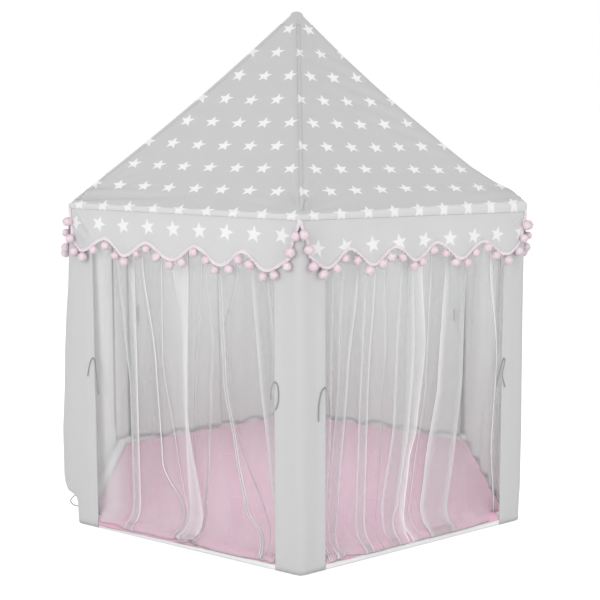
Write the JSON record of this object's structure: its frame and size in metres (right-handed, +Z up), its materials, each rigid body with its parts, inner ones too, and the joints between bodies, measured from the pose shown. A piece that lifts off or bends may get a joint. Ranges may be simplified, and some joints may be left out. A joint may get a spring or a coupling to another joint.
{
  "type": "play tent",
  "caption": "Hexagonal children's play tent with a pointed roof, a scalloped valance with pompoms, sheer door curtains and a padded floor mat.",
  "frame": {"origin": "on the floor straight below the tip, at the middle of the mat's underside", "axes": "+Z up; -Y points to the front corner between the two doors; +X to the right as seen from the front"},
  "size_m": [1.2509, 1.4032, 1.38],
  "materials": {
    "tube_plastic": "smooth white",
    "connector_plastic": "moulded grey",
    "roof_cloth": "matt woven, printed with small white stars",
    "wall_cloth": "matt woven",
    "tulle": "sheer white net",
    "trim": "soft yarn",
    "mat_cloth": "matt padded",
    "ribbon": "grosgrain"
  },
  "bodies": {
    "tent": {"base_tube_1": "tube_plastic", "base_tube_2": "tube_plastic", "base_tube_3": "tube_plastic", "base_tube_4": "tube_plastic", "base_tube_5": "tube_plastic", "base_tube_6": "tube_plastic", "corner_post_1": "tube_plastic", "corner_post_2": "tube_plastic", "corner_post_3": "tube_plastic", "corner_post_4": "tube_plastic", "corner_post_5": "tube_plastic", "corner_post_6": "tube_plastic", "eave_tube_1": "tube_plastic", "eave_tube_2": "tube_plastic", "eave_tube_3": "tube_plastic", "eave_tube_4": "tube_plastic", "eave_tube_5": "tube_plastic", "eave_tube_6": "tube_plastic", "roof_tube_1": "tube_plastic", "roof_tube_2": "tube_plastic", "roof_tube_3": "tube_plastic", "roof_tube_4": "tube_plastic", "roof_tube_5": "tube_plastic", "roof_tube_6": "tube_plastic", "foot_connector_1": "connector_plastic", "foot_connector_2": "connector_plastic", "foot_connector_3": "connector_plastic", "foot_connector_4": "connector_plastic", "foot_connector_5": "connector_plastic", "foot_connector_6": "connector_plastic", "eave_connector_1": "connector_plastic", "eave_connector_2": "connector_plastic", "eave_connector_3": "connector_plastic", "eave_connector_4": "connector_plastic", "eave_connector_5": "connector_plastic", "eave_connector_6": "connector_plastic", "apex_connector": "connector_plastic", "corner_strip_1": "wall_cloth", "corner_strip_2": "wall_cloth", "corner_strip_3": "wall_cloth", "corner_strip_4": "wall_cloth", "corner_strip_5": "wall_cloth", "corner_strip_6": "wall_cloth", "base_tunnel": "wall_cloth", "rear_right_wall": "wall_cloth", "right_side_wall": "wall_cloth", "left_side_wall": "wall_cloth", "left_door_tie_outer": "ribbon", "left_door_tie_inner": "ribbon", "right_door_tie_inner": "ribbon", "right_door_tie_outer": "ribbon", "roof_canopy": "roof_cloth", "pompom_trim": "trim", "floor_mat": "mat_cloth"},
    "right_door_curtain_inner": {"right_door_curtain_inner": "tulle"},
    "right_door_curtain_outer": {"right_door_curtain_outer": "tulle"},
    "left_door_curtain_outer": {"left_door_curtain_outer": "tulle"},
    "left_door_curtain_inner": {"left_door_curtain_inner": "tulle"},
    "rear_left_panel_inner": {"rear_left_panel_inner": "wall_cloth"},
    "rear_left_panel_outer": {"rear_left_panel_outer": "wall_cloth"}
  },
  "joints": [
    {"name": "right_door_curtain_inner_gather", "type": "hinge", "parent": "tent", "child": "right_door_curtain_inner", "pos_m": [0.30224, -0.4915, 0.8432], "axis": [-0.5, 0.866, 0], "range_deg": [0, 17], "deforming": ["right_door_curtain_inner"]},
    {"name": "right_door_curtain_outer_gather", "type": "hinge", "parent": "tent", "child": "right_door_curtain_outer", "pos_m": [0.26903, -0.49797, 0.8432], "axis": [0.5, -0.866, 0], "range_deg": [0, 17], "deforming": ["right_door_curtain_outer"]},
    {"name": "left_door_curtain_outer_gather", "type": "hinge", "parent": "tent", "child": "left_door_curtain_outer", "pos_m": [-0.27453, -0.5075, 0.8432], "axis": [0.5, 0.866, 0], "range_deg": [0, 17], "deforming": ["left_door_curtain_outer"]},
    {"name": "left_door_curtain_inner_gather", "type": "hinge", "parent": "tent", "child": "left_door_curtain_inner", "pos_m": [-0.29674, -0.48197, 0.8432], "axis": [-0.5, -0.866, 0], "range_deg": [0, 17], "deforming": ["left_door_curtain_inner"]},
    {"name": "rear_left_panel_inner_gather", "type": "hinge", "parent": "tent", "child": "rear_left_panel_inner", "pos_m": [-0.30224, 0.4915, 0.8432], "axis": [0.5, -0.866, 0], "range_deg": [0, 17], "deforming": ["rear_left_panel_inner"]},
    {"name": "rear_left_panel_outer_gather", "type": "hinge", "parent": "tent", "child": "rear_left_panel_outer", "pos_m": [-0.26903, 0.49797, 0.8432], "axis": [-0.5, 0.866, 0], "range_deg": [0, 17], "deforming": ["rear_left_panel_outer"]}
  ]
}
